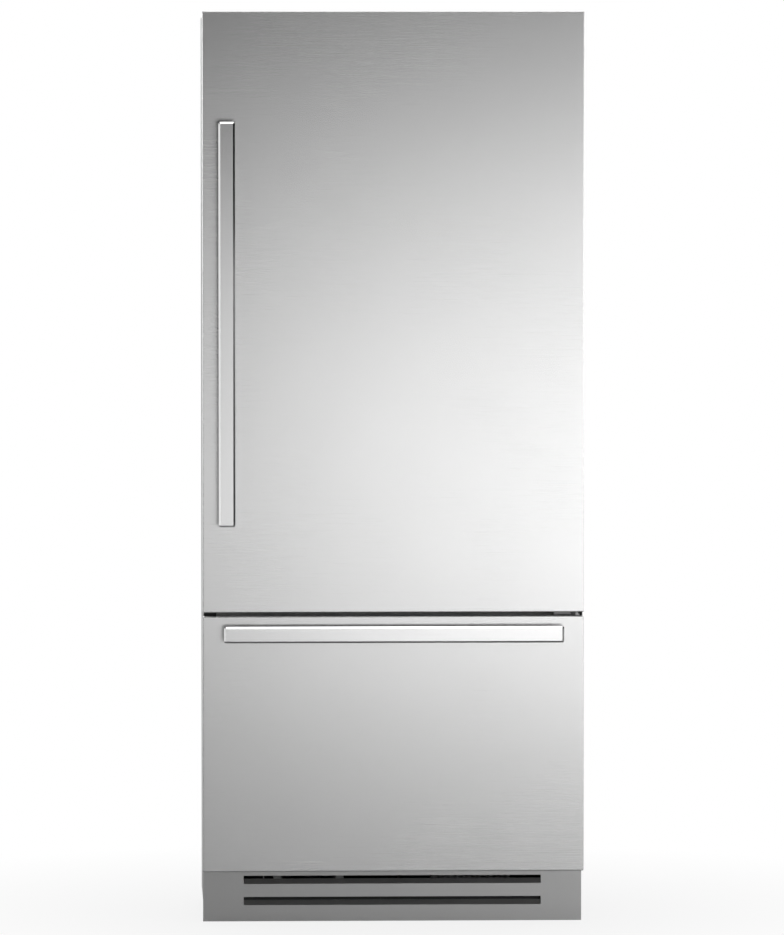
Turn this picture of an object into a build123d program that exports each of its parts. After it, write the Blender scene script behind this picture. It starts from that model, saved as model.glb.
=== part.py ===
"""Built-in bottom-mount refrigerator: a tall hinged door over a freezer drawer and a louvred toe-kick.

Millimetres. +Z is up, the front faces -Y, and the origin is on the floor under the middle of the whole object.
"""
from build123d import *
import os

os.makedirs("parts", exist_ok=True)

# Front panels and the gap between them, from the floor up
panel_overhang = 3.0
panel_depth = 20.0
toe_height = 130.0
drawer_panel_height = 610.0
panel_gap = 9.0
door_panel_height = 1428.0
panel_rise = 12.0
panel_sheet = 1.2
panel_lip = 14.0
bend_radius = 2.4
panel_corner = 3.0

# Case
case_width = 902.0
case_depth = 523.5
case_sheet = 1.0
case_corner = 1.5
side_wall = 55.0
back_wall = 62.0
ceiling_wall = 66.0
mullion_height = 75.0
mullion_below_gap = 32.0
face_above_toe = 5.0
floor_wall = 60.0
liner_wall = 2.5
liner_corner = 14.0
skirt_bottom = 30.0

# Door and drawer fronts behind the panels
front_thickness = 54.0
pan_sheet = 1.0
pan_inset = 4.0
dike_depth = 34.0
dike_width = 46.0
dike_gap = 14.0
dike_round = 6.0
foam_seam = 0.3
plug_depth = 18.0
gasket_depth = 12.2
gasket_width = 16.0
gasket_root = 8.0
gasket_root_depth = 4.2
gasket_margin = 5.0
seal_clearance = 0.3

# Bar handles
handle_bar_width = 39.0
handle_bar_thickness = 14.0
handle_standoff = 40.0
handle_corner = 5.0
handle_chamfer = 4.5
handle_post_width = 20.0
handle_post_height = 26.0
handle_post_inset = 17.0
door_handle_length = 960.0
door_handle_edge_in = 57.5
door_handle_bottom = 207.0
drawer_handle_side_in = 50.0
drawer_handle_drop = 40.5

# Door hinge
hinge_edge_in = 18.0
hinge_setback = 32.0
hinge_plate_thickness = 5.0
hinge_boss_radius = 11.0
hinge_arm_width = 56.0
hinge_arm_offset = 4.0
hinge_arm_on_case = 60.0
hinge_pin_radius = 5.0
hinge_pin_length = 26.0
hinge_pin_clearance = 0.05
bush_wall = 2.5
bush_flange = 2.5
hinge_ear_height = 26.0
hinge_ear_thickness = 3.0
hinge_screw_radius = 2.6
gap_cap_width = 30.0
gap_cap_depth = 40.0

# Toe-kick and base
toe_bottom = 3.0
toe_clearance = 3.0
toe_return = 12.0
toe_side_overlap = 2.0
toe_slot_side_in = 97.0
toe_slot_height = 20.0
toe_slot_low = 51.5
toe_slot_pitch = 51.0
toe_slot_collar = 9.0
toe_slot_lip = 12.0
pan_floor = 44.0
base_sheet = 2.0
base_flange = 20.0
bay_depth = 215.0
bay_height = 90.0

# Feet and rollers
foot_pad_radius = 22.0
foot_pad_height = 9.0
foot_stem_radius = 6.0
foot_stem_top = 92.0
foot_socket_wall = 6.0
foot_socket_height = 30.0
foot_clearance = 0.08
foot_side_in = 70.0
foot_setback = 60.0
roller_radius = 20.0
roller_width = 24.0
roller_side_in = 70.0
roller_back_in = 62.0
axle_radius = 4.0
axle_clearance = 0.06
axle_boss = 8.0
axle_head = 6.0
roller_room = 80.0
roller_side_gap = 1.0
roller_ear = 3.0

# Fresh-food fittings
shelf_rises = (400.0, 645.0, 890.0)
shelf_glass = 5.0
shelf_setback = 122.0
shelf_back_gap = 26.0
shelf_side_gap = 1.5
shelf_ledge_reach = 12.0
shelf_ledge_height = 10.0
trim_height = 15.0
trim_depth = 12.0
trim_nose = 4.0
trim_end_gap = 1.0
crisper_rise = 202.0
crisper_wall = 3.0
crisper_corner = 8.0
crisper_side_gap = 4.0
crisper_top_gap = 5.0
crisper_setback = 2.0
crisper_back_gap = 12.0
crisper_post_width = 18.0
crisper_rail_height = 14.0
crisper_rail_depth = 10.0
crisper_grip_width = 140.0
crisper_grip_depth = 14.0
crisper_grip_height = 6.0
running_gap = 0.3
duct_width = 240.0
duct_depth = 16.0
duct_vent_count = 8
duct_vent_width = 90.0
duct_vent_height = 12.0
light_width = 22.0
light_depth = 8.0
light_setback = 60.0
light_end_gap = 70.0
control_width = 260.0
control_depth = 60.0
control_setback = 45.0
control_height = 14.0
control_round = 4.0

# Door bins
bin_rises = (300.0, 660.0, 1010.0)
bin_depth = 105.0
bin_wall = 3.0
bin_front_height = 95.0
bin_lean = 8.0
bin_end_gap = 0.5
bin_corner = 10.0

# Freezer drawer
slide_rise = 268.0
slide_depth = 365.0
slide_setback = 14.0
slide_rail_height = 46.0
slide_sheet = 1.5
slide_thickness = 13.0
slide_clearance = 0.4
slide_tab_height = 80.0
slide_tab_sheet = 3.0
basket_side_gap = 1.5
basket_wall = 3.0
basket_rim = 14.0
basket_depth = 345.0
basket_step_in = 14.0
basket_floor_gap = 14.0
basket_setback = 2.0
basket_corner = 16.0
tray_height = 110.0
tray_depth = 170.0
tray_wall = 3.0
tray_side_gap = 5.0
tray_corner = 10.0

# Cooling system
fan_radius = 55.0
fan_hub_radius = 18.0
fan_hub_length = 16.0
fan_hub_gap = 1.0
fan_blades = 5
fan_blade_thickness = 1.6
fan_root_chord = 18.0
fan_tip_chord = 36.0
fan_root_pitch = 48.0
fan_tip_pitch = 26.0
fan_ring_gap = 3.0
shaft_radius = 2.0
shaft_length = 14.0
shaft_clearance = 0.05
motor_radius = 20.0
motor_length = 26.0
motor_bar = 12.0
coil_tube_radius = 4.0
coil_bend_radius = 11.0
coil_core = 26.0
coil_fin_share = 0.35
evaporator_chamber = 70.0
evaporator_side_in = 113.5
evaporator_height = 170.0
evaporator_depth = 44.0
evaporator_fins = 24
evaporator_cover_sheet = 3.0
evaporator_fan_drop = 78.0
vent_width = 96.0
vent_height = 8.0
vent_pitch = 16.0
vent_rows = 6
return_vents = 5
return_vent_pitch = 134.0
compressor_radius = 68.0
compressor_height = 118.0
compressor_crown = 34.0
compressor_side_in = 261.0
compressor_feet_x = 150.0
compressor_feet_y = 110.0
compressor_plate = 3.0
grommet_radius = 11.0
grommet_height = 12.0
condenser_side_in = 246.0
condenser_width = 190.0
condenser_height = 120.0
condenser_depth = 120.0
condenser_fins = 14
shroud_ahead = 80.0
shroud_sheet = 2.0
shroud_edge_gap = 0.5
drain_pan_side_in = 86.0
drain_pan_width = 130.0
drain_pan_depth = 160.0
drain_pan_height = 22.0
drain_pan_wall = 2.0

# Rear cover, anti-tip brackets
cover_slot_rows = 6
cover_slot_columns = 4
cover_slot_width = 120.0
cover_slot_height = 6.0
cover_slot_pitch = 16.0
cover_column_pitch = 180.0
cord_hole_radius = 12.0
cord_collar = 6.0
bracket_width = 120.0
bracket_leg = 60.0
bracket_sheet = 4.0
bracket_hole_radius = 3.5
bracket_hole_pitch = 80.0
bracket_side_in = 200.0

# Levels worked out from the sizes above
drawer_panel_top = toe_height + drawer_panel_height
foam_floor = toe_height + face_above_toe
door_panel_bottom = drawer_panel_top + panel_gap
overall_height = door_panel_bottom + door_panel_height
case_top = overall_height - panel_rise
freezer_top = drawer_panel_top - mullion_below_gap
fridge_bottom = freezer_top + mullion_height
fridge_top = case_top - ceiling_wall
freezer_bottom = foam_floor + floor_wall
bay_top = foam_floor + bay_height
room_floor = fridge_bottom + liner_wall
crisper_top = room_floor + crisper_rise
shelf_levels = [room_floor + rise for rise in shelf_rises]
slide_height = freezer_bottom + slide_rise

# Depths from the front of the handles to the back of the case, with the origin halfway
handle_reach = handle_standoff + handle_bar_thickness
overall_depth = (handle_reach + panel_depth + front_thickness + gasket_depth + seal_clearance + case_depth)
y_handle = -overall_depth / 2
y_panel = y_handle + handle_reach
y_front = y_panel + panel_depth
y_flange = y_front + front_thickness
y_case = y_flange + gasket_depth + seal_clearance
y_inside = y_case + case_sheet
y_back = y_case + case_depth
y_rear = y_back - back_wall
y_bay = y_back - bay_depth

# Widths
panel_width = case_width + 2 * panel_overhang
drawer_handle_length = panel_width - 2 * drawer_handle_side_in
half_case = case_width / 2
half_liner = half_case - side_wall
half_room = half_liner - liner_wall
evaporator_width = 2 * (half_room - evaporator_side_in)
half_pan = panel_width / 2 - pan_inset

# Places in the machine bay, from the sides of the case
compressor_x = compressor_side_in - half_case
condenser_x = half_case - condenser_side_in
shroud_x = condenser_x - condenser_width / 2 - shroud_ahead
drain_pan_x = drain_pan_side_in - half_case


def front_plane(y):
    """Sketch plane facing the viewer at depth y: local x is +X and local y is +Z."""
    return Plane.XZ.offset(-y)


def write(builder, name):
    """Label a finished piece and write its file."""
    builder.part.label = name
    export_step(builder.part, f"parts/{name}.step")


def level_rectangle(width, low, high, corner=0, mode=Mode.ADD):
    """Rectangle centred on X between two levels, with round corners where a radius is given."""
    with Locations((0, (low + high) / 2)):
        if corner:
            RectangleRounded(width, high - low, corner, mode=mode)
        else:
            Rectangle(width, high - low, mode=mode)


# Outer case: one sheet folded into two sides and a top
with BuildPart() as outer_case:
    with BuildSketch(front_plane(y_inside)):
        level_rectangle(case_width, skirt_bottom, case_top)
        level_rectangle(case_width - 2 * case_sheet, skirt_bottom, case_top - case_sheet, mode=Mode.SUBTRACT)
    extrude(amount=-(case_depth - 2 * case_sheet))
    fillet(outer_case.edges().filter_by(Axis.Y).group_by(Axis.Z)[-1], case_corner)
write(outer_case, "outer_case")

# Back panel above the machine bay
with BuildPart() as back_panel:
    with BuildSketch(front_plane(y_back - case_sheet)):
        level_rectangle(case_width, bay_top, case_top)
    extrude(amount=-case_sheet)
write(back_panel, "back_panel")

# Face frame: the steel front that both gaskets close on
with BuildPart() as face_frame:
    with BuildSketch(front_plane(y_case)):
        level_rectangle(case_width, foam_floor, case_top)
        for low, high in ((freezer_bottom, freezer_top), (fridge_bottom, fridge_top)):
            level_rectangle(2 * half_room, low + liner_wall, high - liner_wall, liner_corner, Mode.SUBTRACT)
    extrude(amount=-case_sheet)
write(face_frame, "face_frame")


def freezer_profile(wall):
    """Side outline of the freezer space, drawn in by a wall: its floor steps up over the machine bay."""
    low = freezer_bottom + wall
    high = freezer_top - wall
    step = bay_top + floor_wall + wall
    step_front = y_bay - floor_wall - wall
    back = y_rear - wall
    Polyline((y_inside, low), (step_front, low), (step_front, step), (back, step), (back, high), (y_inside, high),
             close=True)


# Foam between the case and the liners, poured as one body
with BuildPart() as cabinet_foam:
    with BuildSketch(Plane.YZ):
        with BuildLine():
            Polyline((y_inside, foam_floor), (y_bay, foam_floor), (y_bay, bay_top), (y_back - case_sheet, bay_top),
                     (y_back - case_sheet, case_top - case_sheet), (y_inside, case_top - case_sheet), close=True)
        make_face()
    extrude(amount=half_case - case_sheet, both=True)
    with BuildSketch(Plane.YZ):
        with BuildLine():
            freezer_profile(0)
        make_face()
    extrude(amount=half_liner, both=True, mode=Mode.SUBTRACT)
    with BuildSketch(front_plane(y_inside)):
        level_rectangle(2 * half_liner, fridge_bottom, fridge_top)
    extrude(amount=-(y_rear - y_inside), mode=Mode.SUBTRACT)
write(cabinet_foam, "cabinet_foam")

# Fresh-food liner with moulded ledges for the shelves
y_shelf = y_case + shelf_setback
y_shelf_back = y_rear - liner_wall - shelf_back_gap
ledge_levels = shelf_levels + [crisper_top]
with BuildPart() as fridge_liner:
    with BuildSketch(front_plane(y_inside)):
        level_rectangle(2 * half_liner, fridge_bottom, fridge_top)
    extrude(amount=-(y_rear - y_inside))
    with BuildSketch(front_plane(y_inside)):
        level_rectangle(2 * half_room, fridge_bottom + liner_wall, fridge_top - liner_wall, liner_corner)
    extrude(amount=-(y_rear - liner_wall - y_inside), mode=Mode.SUBTRACT)
    for level in ledge_levels:
        for side in (-1, 1):
            with BuildSketch(front_plane(y_shelf)):
                with BuildLine():
                    Polyline((side * half_room, level), (side * (half_room - shelf_ledge_reach), level),
                             (side * (half_room - shelf_ledge_reach), level - shelf_ledge_height / 2),
                             (side * half_room, level - 2 * shelf_ledge_height), close=True)
                make_face()
            extrude(amount=-(y_shelf_back - y_shelf))
write(fridge_liner, "fridge_liner")

# Freezer liner, stepped over the machine bay
with BuildPart() as freezer_liner:
    with BuildSketch(Plane.YZ):
        with BuildLine():
            freezer_profile(0)
        make_face()
    extrude(amount=half_liner, both=True)
    with BuildSketch(Plane.YZ):
        with BuildLine():
            freezer_profile(liner_wall)
        make_face()
    extrude(amount=half_room, both=True, mode=Mode.SUBTRACT)
write(freezer_liner, "freezer_liner")


def closing_front(name, panel_low, panel_high, pan_low, pan_high, room_low, room_high, plug):
    """Panel, pan, foam, liner and gasket of one insulated front, as separate builders.

    The liner's raised dike goes round a pocket for bins, unless the front is a plug, which is raised all over.
    The dike is filled by four bars of foam, set in before the rest is poured.
    """
    rise = plug_depth if plug else dike_depth
    half_dike = half_room - dike_gap
    dike_low = room_low + liner_wall + dike_gap
    dike_high = room_high - liner_wall - dike_gap

    with BuildPart() as panel:
        with BuildSketch(front_plane(y_panel)):
            level_rectangle(panel_width, panel_low, panel_high, panel_corner)
        extrude(amount=-panel_depth)
        fillet(panel.faces().sort_by(Axis.Y)[0].edges(), bend_radius)
        offset(amount=-panel_sheet, openings=panel.faces().sort_by(Axis.Y)[-1])
        with BuildSketch(front_plane(y_front - panel_sheet)):
            level_rectangle(panel_width - panel_sheet, panel_low + panel_sheet / 2, panel_high - panel_sheet / 2,
                            panel_corner - panel_sheet / 2)
            level_rectangle(panel_width - 2 * panel_lip, panel_low + panel_lip, panel_high - panel_lip,
                            mode=Mode.SUBTRACT)
        extrude(amount=-panel_sheet)

    with BuildPart() as pan:
        with BuildSketch(front_plane(y_front)):
            level_rectangle(2 * half_pan, pan_low, pan_high)
        extrude(amount=-front_thickness)
        offset(amount=-pan_sheet, openings=pan.faces().sort_by(Axis.Y)[-1])

    with BuildPart() as foam:
        with BuildSketch(front_plane(y_front + pan_sheet)):
            level_rectangle(2 * (half_pan - pan_sheet), pan_low + pan_sheet, pan_high - pan_sheet)
        extrude(amount=-(front_thickness - pan_sheet - liner_wall))
        with BuildSketch(front_plane(y_flange - liner_wall)):
            level_rectangle(2 * (half_dike - liner_wall), dike_low + liner_wall, dike_high - liner_wall)
            if not plug:
                level_rectangle(2 * (half_dike - dike_width + liner_wall), dike_low + dike_width - liner_wall,
                                dike_high - dike_width + liner_wall, mode=Mode.SUBTRACT)
        extrude(amount=-rise)

    with BuildPart() as liner:
        with BuildSketch(front_plane(y_flange)):
            level_rectangle(2 * half_dike, dike_low, dike_high)
            if not plug:
                level_rectangle(2 * (half_dike - dike_width), dike_low + dike_width, dike_high - dike_width,
                                mode=Mode.SUBTRACT)
        extrude(amount=-rise)
        fillet(liner.faces().sort_by(Axis.Y)[-1].edges(), dike_round)
        with BuildSketch(front_plane(y_flange - liner_wall)):
            level_rectangle(2 * (half_pan - pan_sheet), pan_low + pan_sheet, pan_high - pan_sheet)
        extrude(amount=-liner_wall)
        add(foam.part, mode=Mode.SUBTRACT)

    if not plug:
        core_inner = half_dike - dike_width + liner_wall
        with foam:
            with BuildSketch(front_plane(y_flange - liner_wall)):
                level_rectangle(2 * half_dike, dike_low, dike_high)
            extrude(amount=-foam_seam, mode=Mode.SUBTRACT)
            with BuildSketch(front_plane(y_flange - liner_wall)):
                with Locations((0, (dike_low + dike_high) / 2)):
                    with GridLocations(2 * core_inner - foam_seam, 1, 2, 1):
                        Rectangle(foam_seam, dike_high - dike_low)
            extrude(amount=-rise, mode=Mode.SUBTRACT)

    with BuildPart() as gasket:
        inner = half_room + gasket_margin
        low = room_low + liner_wall - gasket_margin
        high = room_high - liner_wall + gasket_margin
        side = (gasket_width - gasket_root) / 2
        with BuildSketch(front_plane(y_flange)):
            level_rectangle(2 * (inner + gasket_width - side), low - gasket_width + side, high + gasket_width - side)
            level_rectangle(2 * (inner + side), low - side, high + side, mode=Mode.SUBTRACT)
        extrude(amount=-gasket_root_depth)
        with BuildSketch(front_plane(y_flange + gasket_root_depth)):
            level_rectangle(2 * (inner + gasket_width), low - gasket_width, high + gasket_width, gasket_width)
            level_rectangle(2 * inner, low, high, mode=Mode.SUBTRACT)
        extrude(amount=-(gasket_depth - gasket_root_depth))

    write(panel, f"{name}_panel")
    write(gasket, f"{name}_gasket")
    return pan, foam, liner


# Hinge line of the door, near its right edge
x_hinge = panel_width / 2 - hinge_edge_in
y_hinge = y_panel + hinge_setback
door_low = door_panel_bottom + pan_inset
door_high = case_top - pan_inset
bush_radius = hinge_pin_radius + hinge_pin_clearance + bush_wall
bush_length = hinge_pin_length

# Door: its pan and foam are bored for the hinge bushes at both ends
door_pan, door_foam, door_liner = closing_front(
    "door", door_panel_bottom, overall_height, door_low, door_high, fridge_bottom, fridge_top, plug=False)
for bored in (door_pan, door_foam):
    with bored:
        for level in (door_low + bush_length / 2, door_high - bush_length / 2):
            with Locations((x_hinge, y_hinge, level)):
                Cylinder(bush_radius, bush_length, mode=Mode.SUBTRACT)
write(door_pan, "door_pan")
write(door_foam, "door_foam")
write(door_liner, "door_liner")

# Freezer drawer front: a plug that fills the mouth of the freezer
drawer_low = foam_floor + toe_clearance
drawer_high = drawer_panel_top - pan_inset
drawer_pan, drawer_foam, drawer_liner = closing_front(
    "drawer", toe_height, drawer_panel_top, drawer_low, drawer_high, freezer_bottom, freezer_top, plug=True)
write(drawer_pan, "drawer_pan")
write(drawer_foam, "drawer_foam")
write(drawer_liner, "drawer_liner")


def bar_handle(name, x, z, width, height, posts):
    """Flat bar with a chamfered front edge, and the posts that hold it off the panel."""
    with BuildPart() as bar:
        with BuildSketch(front_plane(y_handle)):
            with Locations((x, z)):
                RectangleRounded(width, height, handle_corner)
        extrude(amount=-handle_bar_thickness)
        chamfer(bar.faces().sort_by(Axis.Y)[0].edges(), handle_chamfer)
    write(bar, f"{name}_handle_bar")

    with BuildPart() as post_pair:
        with BuildSketch(front_plane(y_handle + handle_bar_thickness)):
            with Locations(*posts):
                if width > height:
                    Rectangle(handle_post_width, handle_post_height)
                else:
                    Rectangle(handle_post_height, handle_post_width)
        extrude(amount=-handle_standoff)
    write(post_pair, f"{name}_handle_posts")


# Door handle: upright bar near the edge away from the hinge
x_door_bar = door_handle_edge_in - panel_width / 2
z_door_bar = door_panel_bottom + door_handle_bottom + door_handle_length / 2
door_post_reach = door_handle_length / 2 - handle_post_inset
bar_handle("door", x_door_bar, z_door_bar, handle_bar_width, door_handle_length,
           [(x_door_bar, z_door_bar + door_post_reach), (x_door_bar, z_door_bar - door_post_reach)])

# Drawer handle: level bar just under the top of the drawer
z_drawer_bar = drawer_panel_top - drawer_handle_drop
drawer_post_reach = drawer_handle_length / 2 - handle_post_inset
bar_handle("drawer", 0, z_drawer_bar, drawer_handle_length, handle_bar_width,
           [(-drawer_post_reach, z_drawer_bar), (drawer_post_reach, z_drawer_bar)])

# Hinge bushes, flanged against the plates, at the foot and the head of the door
centre_plate_low = drawer_panel_top + (panel_gap - hinge_plate_thickness) / 2
centre_plate_high = centre_plate_low + hinge_plate_thickness
with BuildPart() as door_bushes:
    for end, plate, inward in ((door_low, centre_plate_high, 1), (door_high, case_top, -1)):
        seat = plate + inward * seal_clearance
        with BuildSketch(Plane.XY.offset(min(seat, end))):
            with Locations((x_hinge, y_hinge)):
                Circle(bush_radius + bush_flange)
        extrude(amount=abs(end - seat))
        with BuildSketch(Plane.XY.offset(min(end, end + inward * bush_length))):
            with Locations((x_hinge, y_hinge)):
                Circle(bush_radius)
        extrude(amount=bush_length)
    with Locations((x_hinge, y_hinge, door_low + door_panel_height / 2)):
        Cylinder(hinge_pin_radius + hinge_pin_clearance, 2 * door_panel_height, mode=Mode.SUBTRACT)
write(door_bushes, "door_bushes")


def hinge_outline(back):
    """Plate outline: a boss round the pin and an arm that runs straight back, left of the swinging panel."""
    with Locations((x_hinge, y_hinge)):
        Circle(hinge_boss_radius)
    right = x_hinge + hinge_arm_offset
    with Locations((right - hinge_arm_width / 2, (y_hinge + back) / 2)):
        Rectangle(hinge_arm_width, back - y_hinge)


# Top hinge plate on the roof of the case, with its pin down into the door
with BuildPart() as top_hinge_plate:
    with BuildSketch(Plane.XY.offset(case_top)):
        hinge_outline(y_inside + hinge_arm_on_case)
    extrude(amount=hinge_plate_thickness)
    x_screws = x_hinge + hinge_arm_offset - hinge_arm_width / 2
    with Locations((x_screws, y_inside + hinge_arm_on_case / 2, case_top + hinge_plate_thickness)):
        with GridLocations(hinge_arm_width / 2, hinge_arm_on_case / 2, 2, 2):
            Hole(hinge_screw_radius, hinge_plate_thickness)
    with BuildSketch(Plane.XY.offset(case_top)):
        with Locations((x_hinge, y_hinge)):
            Circle(hinge_pin_radius)
    extrude(amount=-hinge_pin_length)
write(top_hinge_plate, "top_hinge_plate")

# Centre hinge plate in the gap, with an upright ear on the face frame and its pin up into the door
with BuildPart() as centre_hinge_plate:
    with BuildSketch(Plane.XY.offset(centre_plate_low)):
        hinge_outline(y_case)
    extrude(amount=hinge_plate_thickness)
    z_ear = (centre_plate_low + centre_plate_high) / 2
    with BuildSketch(front_plane(y_case - hinge_ear_thickness)):
        with Locations((x_hinge + hinge_arm_offset - hinge_arm_width / 2, z_ear)):
            Rectangle(hinge_arm_width, hinge_ear_height)
    extrude(amount=-hinge_ear_thickness)
    with BuildSketch(Plane.XY.offset(centre_plate_high)):
        with Locations((x_hinge, y_hinge)):
            Circle(hinge_pin_radius)
    extrude(amount=hinge_pin_length)
write(centre_hinge_plate, "centre_hinge_plate")

# Cap over the unused hinge place at the left end of the gap, as doors of either hand share the case
with BuildPart() as hinge_gap_cap:
    with BuildSketch(Plane.XY.offset(centre_plate_low)):
        with Locations((gap_cap_width / 2 - half_case, y_case - gap_cap_depth / 2)):
            Rectangle(gap_cap_width, gap_cap_depth)
    extrude(amount=hinge_plate_thickness)
    with BuildSketch(front_plane(y_case - hinge_ear_thickness)):
        with Locations((gap_cap_width / 2 - half_case, z_ear)):
            Rectangle(gap_cap_width, hinge_ear_height)
    extrude(amount=-hinge_ear_thickness)
write(hinge_gap_cap, "hinge_gap_cap")

# Base pan: a folded tray with two threaded sockets for the front feet
half_inside = half_case - case_sheet
pan_top = pan_floor + base_sheet
foot_x = half_case - foot_side_in
foot_y = y_inside + foot_setback
foot_places = [(-foot_x, foot_y), (foot_x, foot_y)]
foot_bore = foot_stem_radius + foot_clearance
with BuildPart() as base_pan:
    with BuildSketch(front_plane(y_inside)):
        level_rectangle(2 * half_inside, pan_floor, pan_top + base_flange)
    extrude(amount=-(y_back - case_sheet - y_inside))
    offset(amount=-base_sheet, openings=base_pan.faces().sort_by(Axis.Z)[-1])
    with BuildSketch(Plane.XY.offset(pan_top)):
        with Locations(*foot_places):
            Circle(foot_bore + foot_socket_wall)
    extrude(amount=foot_socket_height)
    with BuildSketch(Plane.XY.offset(pan_floor)):
        with Locations(*foot_places):
            Circle(foot_bore)
    extrude(amount=base_sheet + foot_socket_height, mode=Mode.SUBTRACT)
write(base_pan, "base_pan")

# Levelling feet: a screw stem on a round pad
for side, (x, y) in zip(("left", "right"), foot_places):
    with BuildPart() as foot:
        with BuildSketch(Plane.XZ.offset(-y)):
            with BuildLine():
                Polyline((x, 0), (x + foot_pad_radius, 0), (x + foot_pad_radius, foot_pad_height / 2),
                         (x + 2 * foot_stem_radius, foot_pad_height), (x + foot_stem_radius, foot_pad_height),
                         (x + foot_stem_radius, foot_stem_top), (x, foot_stem_top), close=True)
            make_face()
        revolve(axis=Axis((x, y, 0), (0, 0, 1)))
    write(foot, f"foot_{side}")

# Rear rollers: wheels on axles between the ears of folded brackets under the base pan
roller_x = half_case - roller_side_in
roller_y = y_back - roller_back_in
ear_in = roller_width / 2 + roller_side_gap
ear_out = ear_in + roller_ear
for side, x in (("left", -roller_x), ("right", roller_x)):
    with BuildPart() as roller:
        with BuildSketch(Plane.YZ.offset(x - roller_width / 2)):
            with Locations((roller_y, roller_radius)):
                Circle(roller_radius)
                Circle(axle_radius + axle_clearance, mode=Mode.SUBTRACT)
        extrude(amount=roller_width)
        rims = roller.edges().filter_by(GeomType.CIRCLE).group_by(SortBy.RADIUS)[-1]
        chamfer(rims, roller_side_gap)
    write(roller, f"roller_{side}")

with BuildPart() as roller_brackets:
    for x in (-roller_x, roller_x):
        with BuildSketch(Plane.YZ.offset(x - ear_out)):
            with BuildLine():
                Polyline((roller_y - roller_radius, pan_floor), (roller_y - axle_boss, axle_boss),
                         (roller_y + axle_boss, axle_boss), (roller_y + roller_radius, pan_floor),
                         close=True)
            make_face()
        extrude(amount=2 * ear_out)
        with BuildSketch(Plane.YZ.offset(x - ear_in)):
            with Locations((roller_y, (pan_floor - roller_ear / 2) / 2)):
                Rectangle(roller_room, pan_floor - roller_ear / 2)
        extrude(amount=2 * ear_in, mode=Mode.SUBTRACT)
        with BuildSketch(Plane.YZ.offset(x - ear_out)):
            with Locations((roller_y, roller_radius)):
                Circle(axle_radius + axle_clearance)
        extrude(amount=2 * ear_out, mode=Mode.SUBTRACT)
write(roller_brackets, "roller_brackets")

with BuildPart() as roller_axles:
    for x in (-roller_x, roller_x):
        with BuildSketch(Plane.YZ.offset(x - ear_out)):
            with Locations((roller_y, roller_radius)):
                Circle(axle_radius)
        extrude(amount=2 * ear_out)
        for head in (x - ear_out - roller_ear, x + ear_out):
            with BuildSketch(Plane.YZ.offset(head)):
                with Locations((roller_y, roller_radius)):
                    Circle(axle_head)
            extrude(amount=roller_ear)
write(roller_axles, "roller_axles")

# Toe-kick: a folded stainless tray with two long slots, each with a collar and a lip that rises inwards
y_toe = y_inside - toe_return
toe_width = case_width + 2 * toe_side_overlap
toe_slot_length = toe_width - 2 * toe_slot_side_in
toe_slots = [toe_slot_low, toe_slot_low + toe_slot_pitch]
with BuildPart() as toe_kick_grille:
    with BuildSketch(front_plane(y_toe)):
        level_rectangle(toe_width, toe_bottom, foam_floor)
    extrude(amount=-toe_return)
    offset(amount=-panel_sheet, openings=toe_kick_grille.faces().sort_by(Axis.Y)[-1])
    with BuildSketch(front_plane(y_toe)):
        for z in toe_slots:
            with Locations((0, z)):
                Rectangle(toe_slot_length + 2 * panel_sheet, toe_slot_height + 2 * panel_sheet)
    extrude(amount=-toe_slot_collar)
    with BuildSketch(front_plane(y_toe)):
        for z in toe_slots:
            with Locations((0, z)):
                Rectangle(toe_slot_length, toe_slot_height)
    extrude(amount=-toe_slot_collar, mode=Mode.SUBTRACT)
    with BuildSketch(Plane.YZ):
        for z in toe_slots:
            sill = z - toe_slot_height / 2
            with BuildLine():
                Polyline((y_toe, sill), (y_toe + toe_slot_collar, sill + toe_slot_lip),
                         (y_toe + toe_slot_collar, sill + toe_slot_lip - panel_sheet), (y_toe, sill - panel_sheet),
                         close=True)
            make_face()
    extrude(amount=toe_slot_length / 2, both=True)
write(toe_kick_grille, "toe_kick_grille")

# Rear cover of the machine bay: rows of air slots and the collar where the supply lead enters
with BuildPart() as machine_cover:
    z_cover = (pan_floor + bay_top) / 2
    with BuildSketch(front_plane(y_back - case_sheet)):
        level_rectangle(case_width, pan_floor, bay_top)
        with Locations((0, z_cover)):
            with GridLocations(cover_column_pitch, cover_slot_pitch, cover_slot_columns, cover_slot_rows):
                SlotOverall(cover_slot_width, cover_slot_height, mode=Mode.SUBTRACT)
    extrude(amount=-case_sheet)
    with BuildSketch(front_plane(y_back)):
        with Locations((half_case - foot_side_in, z_cover)):
            Circle(cord_hole_radius + case_sheet)
    extrude(amount=cord_collar)
    with BuildSketch(front_plane(y_back)):
        with Locations((half_case - foot_side_in, z_cover)):
            Circle(cord_hole_radius)
    extrude(amount=cord_collar, mode=Mode.SUBTRACT)
write(machine_cover, "machine_cover")

# Anti-tip brackets on the roof of the case, drilled for screws into a block on the wall
with BuildPart() as anti_tip_brackets:
    with BuildSketch(Plane.XY.offset(case_top)):
        for x in (bracket_side_in - half_case, half_case - bracket_side_in):
            with Locations((x, y_back - bracket_leg / 2)):
                Rectangle(bracket_width, bracket_leg)
                with GridLocations(bracket_hole_pitch, 1, 2, 1):
                    Circle(bracket_hole_radius, mode=Mode.SUBTRACT)
    extrude(amount=bracket_sheet)
write(anti_tip_brackets, "anti_tip_brackets")

# Glass shelves on the liner's ledges, and the pane over the crispers
room_back = y_rear - liner_wall
ledge_edge = half_room - shelf_ledge_reach
with BuildPart() as glass_shelves:
    for level in ledge_levels:
        with BuildSketch(Plane.XY.offset(level)):
            with Locations((0, (y_shelf + y_shelf_back) / 2)):
                Rectangle(2 * (half_room - shelf_side_gap), y_shelf_back - y_shelf)
        extrude(amount=shelf_glass)
write(glass_shelves, "glass_shelves")

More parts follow.
